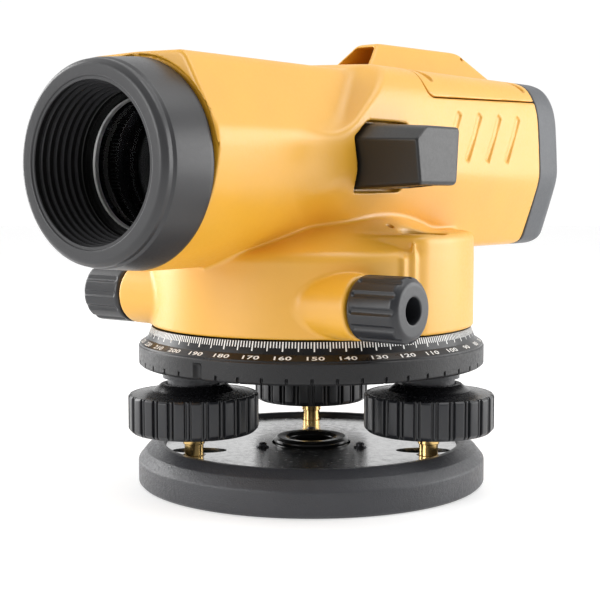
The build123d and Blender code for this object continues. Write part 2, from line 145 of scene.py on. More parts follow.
def surface(field, low, high, step):
    """Vertices (3, n), faces and normals of the field's zero surface.

    Only the blocks near the surface are sampled; the others hold the band's edge value."""
    low = np.array(low, float)
    band = 3 * step
    cube = BLOCK ** 3
    count = np.ceil((np.array(high) - low) / step / BLOCK).astype(int)
    corner = np.stack(np.meshgrid(*[np.arange(n) * BLOCK for n in count], indexing="ij")).reshape(3, -1)
    value = spread(field, low[:, None] + (corner + (BLOCK - 1) / 2) * step)
    cells = np.repeat(np.sign(value) * band, cube).reshape(*count, BLOCK, BLOCK, BLOCK)
    near = np.abs(value) < step * (BLOCK * HALF_DIAGONAL * OVERSTATED + 2)
    inner = np.stack(np.meshgrid(*[np.arange(BLOCK)] * 3, indexing="ij")).reshape(3, 1, -1)
    at = (corner[:, near][:, :, None] + inner).reshape(3, -1)
    found = spread(field, low[:, None] + at * step)
    cells.reshape(-1, cube)[near] = np.clip(found, -band, band).reshape(-1, cube)
    dense = cells.transpose(0, 3, 1, 4, 2, 5).reshape(*(count * BLOCK))
    grid = openvdb.FloatGrid(band)
    grid.copyFromArray(np.ascontiguousarray(dense, dtype=np.float32))
    points, triangles, quads = grid.convertToPolygons(0.0, 0.0)
    p = low[:, None] + points.T.astype(float) * step
    for _ in range(FIT_ROUNDS):
        g = gradient(field, p, FIT_EPS)
        move = spread(field, p) * g / np.maximum((g * g).sum(0), 0.05)
        size = np.sqrt((move * move).sum(0))
        p = p - move * np.minimum(1, 0.5 * step / np.maximum(size, 1e-9))
    normals = gradient(field, p, NORMAL_EPS)
    normals /= np.maximum(np.linalg.norm(normals, axis=0), 1e-9)
    faces = [list(f) for f in triangles] + [list(f) for f in quads]
    first = faces[0]
    a, b, c = (p[:, i] for i in first[:3])
    if np.dot(np.cross(b - a, c - a), normals[:, first[0]]) < 0:
        faces = [f[::-1] for f in faces]
    return p, faces, normals


def make_mesh(name, p, faces, normals=None):
    """A smooth-shaded object from millimetre points (3, n)."""
    mesh = bpy.data.meshes.new(name)
    mesh.from_pydata([tuple(v) for v in (p.T * MM)], [], faces)
    mesh.polygons.foreach_set("use_smooth", [True] * len(mesh.polygons))
    if normals is not None:
        mesh.normals_split_custom_set_from_vertices([tuple(n) for n in normals.T])
    mesh.update()
    piece = bpy.data.objects.new(name, mesh)
    bpy.context.scene.collection.objects.link(piece)
    return piece


def settle(piece, body, slot, materials, *nodes):
    """Gives a piece its materials and body, and lets it stand for CAD nodes. The slot is not used."""
    for m in materials:
        piece.data.materials.append(m)
    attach(piece, body)
    if nodes:
        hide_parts(*nodes)
    return piece


def sculpt(name, field, low, high, step, body, slot, materials, *nodes):
    """A piece from a distance field, ready in place."""
    return settle(make_mesh(name, *surface(field, low, high, step)), body, slot, materials, *nodes)


def fineness(full):
    return full


# ---- turned pieces ----
def rounded(points, radii, steps=5):
    """The closed outline with each corner replaced by an arc of its radius."""
    out = []
    n = len(points)
    for i, r in enumerate(radii):
        b = np.array(points[i], float)
        if r == 0:
            out.append(tuple(b))
            continue
        u = np.array(points[i - 1], float) - b
        v = np.array(points[(i + 1) % n], float) - b
        lu, lv = np.linalg.norm(u), np.linalg.norm(v)
        u, v = u / lu, v / lv
        half = math.acos(max(-1, min(1, float(u @ v)))) / 2
        cut = min(r / math.tan(half), 0.49 * lu, 0.49 * lv)
        r = cut * math.tan(half)
        centre = b + (u + v) / np.linalg.norm(u + v) * r / math.sin(half)
        start, end = b + u * cut - centre, b + v * cut - centre
        turn = math.atan2(start[0] * end[1] - start[1] * end[0], start @ end)
        for s in range(steps + 1):
            a = turn * s / steps
            x = start[0] * math.cos(a) - start[1] * math.sin(a)
            y = start[0] * math.sin(a) + start[1] * math.cos(a)
            out.append((centre[0] + x, centre[1] + y))
    return out


def lathe(name, profile, axis="Z", centre=(0.0, 0.0), segments=160, radius=None, sharp=38, zones=None,
          angles=None):
    """A closed ring turned from (radius, height) points about Z or Y. radius(r, h, angle) may cut
    flutes; zones(r, h) gives a face its material number."""
    prof = np.array(profile, float)
    angle = np.arange(segments) * 2 * math.pi / segments if angles is None else np.array(angles)
    n, m = len(prof), len(angle)
    r = np.repeat(prof[:, 0][:, None], m, 1)
    h = np.repeat(prof[:, 1][:, None], m, 1)
    a = np.repeat(angle[None, :], n, 0)
    if radius is not None:
        r = radius(r, h, a)
    c, s = r * np.cos(a), r * np.sin(a)
    if axis == "Z":
        p = np.stack([c + centre[0], s + centre[1], h])
    else:
        p = np.stack([c + centre[0], h, s + centre[1]])
    p = p.reshape(3, -1)
    faces, numbers = [], []
    for i in range(n):
        k = (i + 1) % n
        number = zones((prof[i, 0] + prof[k, 0]) / 2, (prof[i, 1] + prof[k, 1]) / 2) if zones else 0
        for j in range(m):
            q = (j + 1) % m
            faces.append([i * m + j, i * m + q, k * m + q, k * m + j])
            numbers.append(number)
    after = np.roll(prof, -1, 0)
    area = sum(prof[:, 0] * after[:, 1] - after[:, 0] * prof[:, 1])
    if (area > 0) == (axis == "Y"):
        faces = [f[::-1] for f in faces]
    piece = make_mesh(name, p, faces)
    piece.data.polygons.foreach_set("material_index", numbers)
    piece.data.set_sharp_from_angle(angle=math.radians(sharp))
    return piece


def in_pitch(angle, pitch):
    """An angle measured from the nearest multiple of the pitch."""
    return (angle + pitch / 2) % pitch - pitch / 2


def folded(u, v, w, count):
    """Points turned by whole pitches about the third axis until they lie in the first of count."""
    rho = np.hypot(u, v)
    local = in_pitch(np.arctan2(v, u), 2 * math.pi / count)
    return np.stack([rho * np.cos(local), rho * np.sin(local), w])


def half_round(radius, across):
    """The depth at a distance across from the middle of a round groove."""
    return np.sqrt(np.maximum(radius ** 2 - across ** 2, 0))


# ---- materials ----
NOISE_LOW, NOISE_HIGH = 0.3, 0.7  # nearly all of a noise texture's values lie between these


def node_material(name, colour, rough, metal=0.0, **sockets):
    """A new material, its node tree and its shader."""
    m = bpy.data.materials.new(name)
    m.use_nodes = True
    tree = m.node_tree
    shader = tree.nodes["Principled BSDF"]
    shader.inputs["Base Color"].default_value = (*colour, 1)
    shader.inputs["Roughness"].default_value = rough
    shader.inputs["Metallic"].default_value = metal
    for socket, value in sockets.items():
        shader.inputs[socket.replace("_", " ")].default_value = value
    return m, tree, shader


def noise(tree, scale, detail=2.0, roughness=0.5, stretch=None):
    """A noise texture on the object's own coordinates; scale is per metre."""
    coords = tree.nodes.new("ShaderNodeTexCoord").outputs["Object"]
    if stretch is not None:
        mapping = tree.nodes.new("ShaderNodeMapping")
        mapping.inputs["Scale"].default_value = stretch
        tree.links.new(coords, mapping.inputs["Vector"])
        coords = mapping.outputs["Vector"]
    tex = tree.nodes.new("ShaderNodeTexNoise")
    tex.inputs["Scale"].default_value = scale
    tex.inputs["Detail"].default_value = detail
    tex.inputs["Roughness"].default_value = roughness
    tree.links.new(coords, tex.inputs["Vector"])
    return tex.outputs["Fac"]


def map_range(tree, value, start, end, low, high):
    """A node that maps start to end onto low to high."""
    node = tree.nodes.new("ShaderNodeMapRange")
    for socket, v in (("From Min", start), ("From Max", end), ("To Min", low), ("To Max", high)):
        node.inputs[socket].default_value = v
    tree.links.new(value, node.inputs["Value"])
    return node


def spread_over(tree, value, low, high):
    """Maps a texture's usual range onto low to high."""
    return map_range(tree, value, NOISE_LOW, NOISE_HIGH, low, high).outputs["Result"]


def tint(tree, value, dark, light, target):
    """Runs a colour between two shades along a texture."""
    ramp = tree.nodes.new("ShaderNodeValToRGB")
    for stop, position, colour in zip(ramp.color_ramp.elements, (NOISE_LOW, NOISE_HIGH), (dark, light)):
        stop.position = position
        stop.color = (*colour, 1)
    tree.links.new(value, ramp.inputs["Fac"])
    tree.links.new(ramp.outputs["Color"], target)


def bump(tree, shader, value, strength, depth, under=None):
    """Raises the surface by a texture; depth is in metres."""
    node = tree.nodes.new("ShaderNodeBump")
    node.inputs["Strength"].default_value = strength
    node.inputs["Distance"].default_value = depth
    tree.links.new(value, node.inputs["Height"])
    if under is not None:
        tree.links.new(under, node.inputs["Normal"])
    tree.links.new(node.outputs["Normal"], shader.inputs["Normal"])
    return node.outputs["Normal"]


CLOUD_SCALE = 60.0


def textured(name, colour, rough, vary, grain, strength, depth, spot=0.05, **sockets):
    """Paint or plastic with a fine moulded or sprayed grain, faint clouding and uneven gloss."""
    m, tree, shader = node_material(name, colour, rough, **sockets)
    cloud = noise(tree, CLOUD_SCALE, 3.0)
    dark = tuple(c * (1 - vary) for c in colour)
    light = tuple(min(1, c * (1 + vary)) for c in colour)
    tint(tree, cloud, dark, light, shader.inputs["Base Color"])
    tree.links.new(spread_over(tree, noise(tree, grain * 0.4, 3.0), rough - spot, rough + spot),
                   shader.inputs["Roughness"])
    fine = bump(tree, shader, noise(tree, grain, 2.0, 0.6), strength, depth)
    bump(tree, shader, noise(tree, grain * 0.3, 2.0), strength * 0.4, depth * 2, under=fine)
    return m


POLISH_SCALE, POLISH_DARKENING = 90.0, 0.08


def metal_finish(name, colour, rough, stretch, scale, strength, depth):
    """Turned or brushed metal: fine lines along one direction, and uneven polish."""
    m, tree, shader = node_material(name, colour, rough, 1.0)
    lines = noise(tree, scale, 3.0, 0.6, stretch)
    dark = tuple(c * (1 - POLISH_DARKENING) for c in colour)
    tint(tree, noise(tree, POLISH_SCALE, 3.0), dark, colour, shader.inputs["Base Color"])
    tree.links.new(spread_over(tree, lines, rough * 0.7, rough * 1.4), shader.inputs["Roughness"])
    bump(tree, shader, lines, strength, depth)
    return m


def glass(name, colour, ior):
    """Clear glass with faint smears."""
    m, tree, shader = node_material(name, colour, 0.02, Transmission_Weight=1.0, IOR=ior)
    tree.links.new(spread_over(tree, noise(tree, 120.0, 3.0), 0.0, 0.012), shader.inputs["Roughness"])
    return m


AMBER = textured("amber_paint", (0.78, 0.395, 0.026), 0.40, 0.03, 2600.0, 0.25, 0.00008, spot=0.06,
                 Specular_IOR_Level=0.95)
DARK_INSIDE = textured("blackened_inside", (0.012, 0.012, 0.012), 0.6, 0.2, 1500.0, 0.3, 0.0001)
HOOD = textured("hood_plastic", (0.030, 0.030, 0.032), 0.36, 0.06, 3200.0, 0.2, 0.00005)
# painted shade: a darker, less glossy copy of the hood's plastic for the grooves between its inner rings
HOOD_GROOVE_SHADE = textured("hood_groove_painted_shade", (0.006, 0.006, 0.006), 0.40, 0.1, 2500.0, 0.15, 0.00005,
                       Specular_IOR_Level=0.3)
KNOB = textured("knob_plastic", (0.018, 0.019, 0.022), 0.34, 0.08, 3000.0, 0.15, 0.00005)
# a glossier copy of the knob's plastic for the top cone; its darker colour is painted shade from the
# circle's dark underside that it faces
KNOB_TOP_SHADED = textured("knob_top", (0.006, 0.006, 0.007), 0.26, 0.1, 1800.0, 0.15, 0.00005,
                    Specular_IOR_Level=0.4)
PRISM_BLACK = textured("prism_plastic", (0.007, 0.007, 0.007), 0.38, 0.08, 3400.0, 0.22, 0.00006)
CASTING = textured("black_crinkle", (0.034, 0.035, 0.040), 0.38, 0.12, 2700.0, 0.9, 0.00016, spot=0.1)
RIM = textured("circle_rim", (0.010, 0.010, 0.011), 0.40, 0.12, 2400.0, 0.7, 0.00011, spot=0.1,
               Specular_IOR_Level=0.4)
BAND = textured("circle_band", (0.005, 0.005, 0.006), 0.30, 0.1, 700.0, 0.04, 0.00003, spot=0.05,
                Specular_IOR_Level=0.35)
MARKS = textured("white_marks", (0.82, 0.82, 0.80), 0.45, 0.04, 3000.0, 0.05, 0.00002)
GREY = textured("grey_plastic", (0.080, 0.085, 0.093), 0.5, 0.04, 2800.0, 0.2, 0.00006)
RUBBER = textured("seal_rubber", (0.014, 0.014, 0.014), 0.65, 0.1, 2000.0, 0.3, 0.0001)
ANODISED = textured("black_anodised", (0.006, 0.006, 0.006), 0.22, 0.1, 1800.0, 0.03, 0.00001,
                    Specular_IOR_Level=0.4)
PLATE = metal_finish("polished_steel", (0.46, 0.46, 0.46), 0.20, (1, 1, 1), 500.0, 0.02, 0.00001)
STEEL = metal_finish("machined_steel", (0.62, 0.62, 0.63), 0.22, (1, 12, 12), 600.0, 0.1, 0.00003)
CHROME = metal_finish("plated_steel", (0.80, 0.80, 0.82), 0.08, (1, 1, 1), 900.0, 0.03, 0.00002)
BLACK_STEEL = metal_finish("blackened_steel", (0.06, 0.06, 0.065), 0.3, (1, 1, 1), 900.0, 0.05, 0.00002)
BRASS = metal_finish("turned_brass", (0.80, 0.55, 0.22), 0.17, (1, 1, 14), 500.0, 0.12, 0.00004)
ALUMINIUM = metal_finish("raw_aluminium", (0.70, 0.70, 0.72), 0.3, (1, 14, 1), 500.0, 0.12, 0.00004)
LENS = glass("lens_glass", (0.93, 0.95, 1.0), 1.17)
VIAL_GLASS = glass("vial_spirit", (0.72, 0.86, 0.34), 1.40)
# painted highlight: a pale, rough metal on the lens retainer's front chamfer, standing in for the bright
# line of its edge
RETAINER_PAINTED_HIGHLIGHT = metal_finish("retainer_painted_highlight", (0.95, 0.95, 0.93), 0.48, (1, 1, 1), 900.0, 0.03, 0.00002)
BUBBLE = glass("vial_bubble", (0.95, 1.0, 0.85), 1.15)

SLOT_MATERIAL = {
    "amber_paint": AMBER, "black_casting": CASTING, "black_anodised": ANODISED, "grey_plastic": GREY,
    "raw_aluminium": ALUMINIUM, "polished_steel": PLATE, "machined_steel": STEEL, "brass": BRASS,
    "black_steel": BLACK_STEEL, "chromed": CHROME, "knob_plastic": KNOB, "hood_plastic": HOOD,
    "circle_plastic": RIM, "seal_rubber": RUBBER, "lens_glass": LENS, "vial_glass": VIAL_GLASS,
}
for part in frame["record"]["subparts"]:
    node = NODES[part["node"]]
    node.data.materials.clear()
    node.data.materials.append(SLOT_MATERIAL.get(part["material_slot"], KNOB))

# ---- main sizes, the same as the CAD's ----
# the telescope: its outlines are half of a cross-section, from the top middle round to the bottom
SIGHT_Z = 100.5
BARREL_FRONT, BARREL_END, BOX_BACK = -79.0, 4.0, 92.0
BARREL = [(0, 131.0), (18.6, 130.6), (22.2, 124.4), (30.3, 109.5), (30.3, 97), (27.6, 87.4),
          (21.4, 78.8), (12.6, 72.8), (0, 70.4)]
BODY = [(0, 133.2), (26.0, 132.4), (32.3, 125.6), (33.9, 112), (34.0, 98), (31.0, 87.2),
        (26.9, 75.6), (24.4, 73.6), (0, 73.6)]
BARREL_ROUND = (1, 2.0, 3.0, 1.6, 6.0, 9.0, 10.0, 10.0)
BODY_ROUND = (1, 4.5, 5.5, 3.0, 1.2, 1.6, 1.5, 3.0)
CHAMBER = [(0, 127.5), (24.0, 127.5), (29.0, 122.0), (30.2, 111), (30.2, 98), (27.6, 88.6),
           (24.2, 78.6), (0, 78.6)]
CHAMBER_ROUND = (1, 2, 2, 2, 2, 2, 2)
CHAMBER_FRONT = 15.0
SLOPE_FOOT = (34.1, -26.4, 110.0)  # where the box's slope meets its side
BORE_R = 24.5
HOOD_SEAT_R, HOOD_SEAT_Y = 29.7, -78.0
# the drum
DRUM_R, DRUM_FRONT_R = 52.0, 51.3
DRUM_LOW, DRUM_SHOULDER, DRUM_TOP = 50.8, 75.2, 80.5
DRUM_CONE = (0.415, 0.910)  # the cone's normal: outwards and up
LOBE_CORNER = (50.6, -13.0)
LOBE_FOOT = (34.0, -22.0)
LOBE_RIBS = ((-21.5, 73.2, 0.25), (-17.2, 77.6, 0.3))  # angle, top and radius
CAVITY_R, CAVITY_TOP = 46.5, 69.0
# the knobs' shafts
SHAFT_BORE_R, KNOB_BORE_R = 6.05, 3.02
TANGENT_Y, TANGENT_Z = -33.9, 60.4
TANGENT_BOSS_X, TANGENT_BOSS_R = 44.2, 9.5
COUNTERBORE_X, COUNTERBORE_R = 44.3, 10.3
FOCUS_Y, FOCUS_Z = 25.0, 98.0
TANGENT_FLUTES, FOCUS_GROOVES, DIOPTER_RIBS = 12, 30, 36
DIOPTER_R, EYEPIECE_BORE_R = 15.6, 12.05
# the cover, its sight and its screws
COVER_Y, SEAM_Z = 19.5, 122.9
SEAM_RISE = 0.028  # the seam climbs towards the back by this much for each mm
SEAM_GAP = 0.22  # each side of the seam
COVER_NOTCH_Y = (22.6, 84.5)
COVER_SCREW_X, COVER_SCREW_Y = 16, (30, 86)
COVER_SCREW_R, WELL_R, WELL_FLOOR = 1.48, 2.15, 131.0
RIDGE_LOW, RIDGE_FRONT_TOP, RIDGE_TOP = 132.4, 142.2, 142.6
PEEP_Z, PEEP_R = 137.4, 2.65
# the rear cap
CAP_FRONT, CAP_SHOULDER, CAP_BACK, CAP_WALL = 92.35, 105.2, 109.5, 3.2
# the bubble, the prism and the slots in the sides
VIAL, VIAL_BORE_R = (43.0, -1.0), 7.05
VIAL_SCREW_HOLES = ((43.5, -11.6), (44.6, 9.2), (34.2, -5.6))
VIAL_SCREW_BORE_R = 1.15
PRISM_EDGE = (54, -21.5, 107.9)  # the prism housing's top front edge
PRISM_POCKET_GAP = 0.85
SLOT_RISE = (0.0, 10.4, 16.2)  # the slots' direction
SLOT_X, SLOT_Y, SLOT_Z = 33.95, 32.6, 111.0
SLOT_PITCH, SLOT_DEPTH = 13.3, 1.25
SLOT_HALF_WIDTH, SLOT_HALF_LENGTH = 1.6, 9.8
SLOT_FLARE, SLOT_END_FLARE = 0.45, 0.8  # how much wider and longer for each mm outwards
# the foot screws and the circle; angles are in degrees about the vertical axis
FOOT_ANGLES = (127.3, 247.3, 7.3)
FOOT_CIRCLE_R = 42.0
KNOB_R, KNOB_GROOVES = 20.08, 24
CIRCLE_R, CIRCLE_NOTCHES = 55.5, 48
NUMBER_BAND = ((55.12, 45.2), (52.7, 46.75))
TICK_BAND = ((52.62, 46.85), (51.33, 50.35))
ZERO_ANGLE, LOCK_ANGLE = 98.3, 270.5
MARK_LIFT = 0.03  # how far the white marks stand out from the circle
# the steps inside the hood
RINGS, RING_PITCH, FIRST_RING_Y = 7, 2.3, -95.9


def mirrored(p):
    """Points folded onto the +X side."""
    return np.stack([np.abs(p[0]), p[1], p[2]])


def telescope(p):
    """The telescope's outside: a round-bellied barrel, and a box whose front is sloped off into it."""
    side = mirrored(p)
    barrel = smax(outline(side[0], side[2], BARREL, BARREL_ROUND), p[1] - BARREL_END, 1.0)
    box = outline(side[0], side[2], BODY, BODY_ROUND)
    slope = plane(side, SLOPE_FOOT, (0.10, -0.607, 0.788))
    ledge = plane(side, SLOPE_FOOT, (0.323, -0.208, 0.922))
    box = smax(box, smin(slope, ledge, 2.5), 1.8)
    box = smax(box, plane(side, (34.0, -23.5, 104.0), (0.95, -0.32, 0.0)), 2.0)
    belly = facet(side, (34.0, 33.5, 98.0), (28.2, 22.4, 83.2), (31.4, -20.0, 93.5), (0, 50, 100))
    box = smax(box, belly, 1.0)
    box = smax(box, plane(side, (0.0, -20.0, 73.6), (0.25, -0.45, -0.86)), 8.0)
    return smin(barrel, box, 2.4)


def drum(p):
    """The round lower part, coned at the front, flat-topped at the sides and behind, with two
    slender upright ribs each side."""
    x, y, z = p
    r = np.hypot(x, y)
    cone = (r - DRUM_FRONT_R) * DRUM_CONE[0] + (z - DRUM_SHOULDER) * DRUM_CONE[1]
    front = smax(r - DRUM_FRONT_R, cone, 2.4)
    along = np.array(LOBE_CORNER) - np.array(LOBE_FOOT)
    along /= np.linalg.norm(along)
    wall = (np.abs(x) - LOBE_FOOT[0]) * along[1] - (y - LOBE_FOOT[1]) * along[0]
    lobe = smax(smax(r - DRUM_R, wall, 3.0), z - DRUM_TOP, 3.0)
    body = smin(front, lobe, 1.2)
    side = mirrored(p)
    for angle, top, radius in LOBE_RIBS:
        a = math.radians(angle)
        foot = (DRUM_FRONT_R * math.cos(a), DRUM_FRONT_R * math.sin(a))
        body = smin(body, capsule(side, (*foot, 40), (*foot, top), radius), 2.2)
    return smax(body, DRUM_LOW - z, 0.8)


def cross_rod(p, x0, x1, y, z, r, k=0.4):
    """A rod from x0 to x1 along the X axis."""
    return rod(p, (x0, y, z), (x1, y, z), r, k)


def long_rod(p, y0, y1, z, r, k=0.4):
    """A rod from y0 to y1 in the middle plane."""
    return rod(p, (0, y0, z), (0, y1, z), r, k)


def casting(p):
    """The outside of the whole head before it is divided."""
    body = smax(telescope(p), BARREL_FRONT - p[1], 1.4)
    body = smax(body, p[1] - BOX_BACK, 0.6)
    body = smin(body, drum(p), 1.7)
    boss = cross_rod(p, -TANGENT_BOSS_X, TANGENT_BOSS_X, TANGENT_Y, TANGENT_Z, TANGENT_BOSS_R, 1.4)
    return smin(body, boss, 1.1)


def cover_region(p):
    """Where the top cover is, with a rounded front corner at the seam."""
    seam = SEAM_Z + SEAM_RISE * (p[1] - COVER_Y)
    return smax(COVER_Y - p[1], seam - p[2], 5.0)


def side_slots(p):
    """Slanted slots in each side, wider outwards: four on the prism's side, two beside the
    focusing knob."""
    near = None
    rise = np.array(SLOT_RISE) / np.hypot(SLOT_RISE[1], SLOT_RISE[2])
    across = np.array((0.0, rise[2], -rise[1]))
    lean = 0.12 * np.maximum(p[2] - 112.0, 0)
    for side, first in ((1, 0), (-1, 2)):
        for i in range(first, 4):
            q = p - np.array([[side * SLOT_X], [SLOT_Y + SLOT_PITCH * i], [SLOT_Z]])
            u, v, w = rise @ q, across @ q, side * q[0] + lean
            flank = np.abs(v) - SLOT_HALF_WIDTH - SLOT_FLARE * w
            end = np.abs(u) - SLOT_HALF_LENGTH - SLOT_END_FLARE * w
            slot = smax(smax(flank, end, 0.7), -SLOT_DEPTH - w, 0.4)
            near = slot if near is None else np.minimum(near, slot)
    return near


def prism_shape(p, grow=0.0):
    """The prism housing's outside: a block with a sloped top front edge and a slanted back."""
    shape = plane(p, (54.1, 0, 100), (1, 0, 0.01))
    shape = smax(shape, plane(p, PRISM_EDGE, (0, -0.989, -0.14)), 0.9)
    shape = smax(shape, plane(p, PRISM_EDGE, (0.03, -0.60, 0.80)), 0.6)
    shape = smax(shape, plane(p, (54, 0, 112.0), (0.06, 0, 1)), 1.3)
    shape = smax(shape, plane(p, (54, 0, 94.9), (0.05, 0, -1)), 1.5)
    shape = smax(shape, plane(p, (54, 2.0, 103), (0.117, 0.987, -0.10)), 2.4)
    return shape - grow


def housing(p):
    """The main casting with its bores, pockets, slots and seam."""
    x, y, z = p
    body = smax(casting(p), -side_slots(p), 0.4)
    body = smax(body, -long_rod(p, -82, HOOD_SEAT_Y, SIGHT_Z, HOOD_SEAT_R, 0.3), 0.5)
    body = smax(body, -long_rod(p, -90, 16, SIGHT_Z, BORE_R, 0.2), 0.3)
    chamber = outline(np.abs(x), z, CHAMBER, CHAMBER_ROUND)
    body = smax(body, -smax(chamber, CHAMBER_FRONT - y, 0.5), 0.5)
    hollow = smax(np.hypot(x, y) - CAVITY_R, z - CAVITY_TOP, 2.0)
    body = smax(body, -hollow, 0.5)
    body = smax(body, -cross_rod(p, -46, 46, TANGENT_Y, TANGENT_Z, SHAFT_BORE_R), 0.3)
    for side in (1, -1):
        counterbore = cross_rod(p, side * COUNTERBORE_X, side * 62, TANGENT_Y, TANGENT_Z, COUNTERBORE_R)
        body = smax(body, -counterbore, 0.7)
    body = smax(body, -cross_rod(p, -45, -28, FOCUS_Y, FOCUS_Z, SHAFT_BORE_R), 0.3)
    body = smax(body, -rod(p, (*VIAL, 70), (*VIAL, 84), VIAL_BORE_R), 0.9)
    for screw in VIAL_SCREW_HOLES:
        body = smax(body, -rod(p, (*screw, 74), (*screw, 84), VIAL_SCREW_BORE_R), 0.3)
    pocket = smax(prism_shape(p, PRISM_POCKET_GAP), 28.5 - x, 0.5)
    body = smax(body, -pocket, 0.6)
    return smax(body, SEAM_GAP - cover_region(p), 0.45)


def ridge(p, narrow, drop):
    """The sight's wedge, drawn in by narrow and lowered by drop."""
    front_foot, front_top = (8.4 - narrow, 19.6, RIDGE_LOW), (4.4 - narrow, 31.0, RIDGE_FRONT_TOP)
    rear_foot, rear_top = (12.6 - narrow, 92.0, RIDGE_LOW), (8.4 - narrow, 77.0, RIDGE_TOP)
    inside = (0, 50, 136)
    body = facet(mirrored(p), front_foot, front_top, rear_top, inside)
    body = smax(body, facet(p, front_foot, front_top, (-4.4, 31.0, RIDGE_FRONT_TOP), inside), 1.0)
    body = smax(body, facet(p, rear_foot, rear_top, (-8.4, 77.0, RIDGE_TOP), inside), 2.2)
    return smax(body, p[2] - (RIDGE_TOP - drop), 1.3)


def sight(p):
    """The peep sight's ridge, open at the front and pierced lengthwise."""
    body = smax(ridge(p, 0.0, 0.0), 130.5 - p[2], 0.3)
    mouth = smax(ridge(p + np.array([[0.0], [4.0], [0.0]]), 1.5, 1.3), 133.4 - p[2], 0.4)
    mouth = smax(mouth, p[1] - 42.0, 0.5)
    body = smax(body, -mouth, 0.35)
    body = smax(body, -long_rod(p, 40, 96, PEEP_Z, PEEP_R, 0.2), 0.3)
    return smax(body, -cross_rod(p, 4, 12, 77.0, 140.3, 0.65, 0.1), 0.2)


def cover(p):
    """The lid over the compensator with the sight on its ridge, two notches in each long edge and
    four wells for its screws."""
    body = smax(casting(p), SEAM_GAP + cover_region(p), 0.45)
    body = smax(body, p[1] - 91.85, 0.5)
    body = smax(body, -slab(p, (-26, COVER_Y + 3, 120), (26, 91, 129.8), 1.5), 0.4)
    body = smin(body, sight(p), 1.0)
    side = mirrored(p)
    for y in COVER_NOTCH_Y:
        body = smax(body, -capsule(side, (23.0, y, 133.1), (28.4, y + 3.0, 129.6), 1.5), 0.3)
    for y in COVER_SCREW_Y:
        well = rod(side, (COVER_SCREW_X, y, WELL_FLOOR), (COVER_SCREW_X, y, 140), WELL_R, 0.1)
        body = smax(body, -well, 0.4)
    return body


def rear_cap(p):
    """The grey cap that closes the back, tapering behind its shoulder."""
    x, y, z = p
    shell = outline(np.abs(x), z, BODY, BODY_ROUND)
    draw_in = 0.42 * smax(y - CAP_SHOULDER, 0.0, 2.5)
    body = smax(shell + draw_in, y - CAP_BACK, 2.2)
    body = smax(body, CAP_FRONT - y, 0.5)
    inside = smax(smax(shell + CAP_WALL, y - 103.0, 1.0), 90.0 - y, 0.5)
    body = smax(body, -inside, 0.5)
    return smax(body, -long_rod(p, 88, 112, SIGHT_Z, EYEPIECE_BORE_R), 0.5)


def prism_case(p):
    """The prism housing, hollow, open below towards the bubble and behind."""
    body = smax(prism_shape(p), 29.5 - p[0], 0.5)
    body = smax(body, -slab(p, (37.0, -12.5, 90), (51.6, 1.0, 109.6), 0.3), 0.3)
    return smax(body, -slab(p, (37.8, 0.5, 97.4), (50.8, 8, 109.0), 0.5), 0.4)


def build_head():
    """The amber casting and cover, the grey cap and the prism housing."""
    p, faces, normals = surface(housing, (-55, -81, 49), (56, 94, 135), fineness(0.62))
    piece = make_mesh("housing", p, faces, normals)
    settle(piece, "head", "amber_paint", [AMBER, DARK_INSIDE], "head_housing")
    # The bore, the compensator's room and the drum's hollow are dark. A face counts as one of theirs
    # when its middle lies within reach of them.
    x, y, z = np.array([np.mean([p[:, i] for i in f], 0) for f in faces]).T
    reach = 0.4
    bore = (np.hypot(x, z - SIGHT_Z) < BORE_R + reach) & (y > -77.5) & (y < 17)
    room = (outline(np.abs(x), z, CHAMBER, CHAMBER_ROUND) < reach) & (y > 14.5) & (y < 91.5)
    under = (np.hypot(x, y) < CAVITY_R + reach) & (z < 69.4)
    piece.data.polygons.foreach_set("material_index", (bore | room | under).astype(np.int32))
    sculpt("cover", cover, (-36, 17, 122), (36, 94, 144.5), fineness(0.5),
           "head", "amber_paint", [AMBER], "top_cover")
    sculpt("rear_cap", rear_cap, (-36, 90, 71), (36, 112, 135.5), fineness(0.55),
           "head", "grey_plastic", [GREY], "rear_cover")
    sculpt("prism_case", prism_case, (28, -23, 93), (56, 6.5, 114), fineness(0.35),
           "head", "knob_plastic", [PRISM_BLACK], "prism_housing")


def build_cover_screws():
    """The cover's four screws, sunk in their wells with a slot across each head."""
    places = [(side * COVER_SCREW_X, y) for y in COVER_SCREW_Y for side in (1, -1)]
    for i, (x, y) in enumerate(places):
        def field(p, x=x, y=y):
            side = np.hypot(p[0] - x, p[1] - y) - COVER_SCREW_R
            head = smax(side, np.abs(p[2] - (WELL_FLOOR + 0.65)) - 0.62, 0.3)
            return smax(head, -slab(p, (x - 2, y - 0.25, 131.8), (x + 2, y + 0.25, 133)), 0.1)

        sculpt(f"cover_screw_{i}", field, (x - 2, y - 2, 130.6), (x + 2, y + 2, 132.6), 0.12,
               "head", "black_steel", [BLACK_STEEL], *(["cover_screws"] if i == 0 else []))


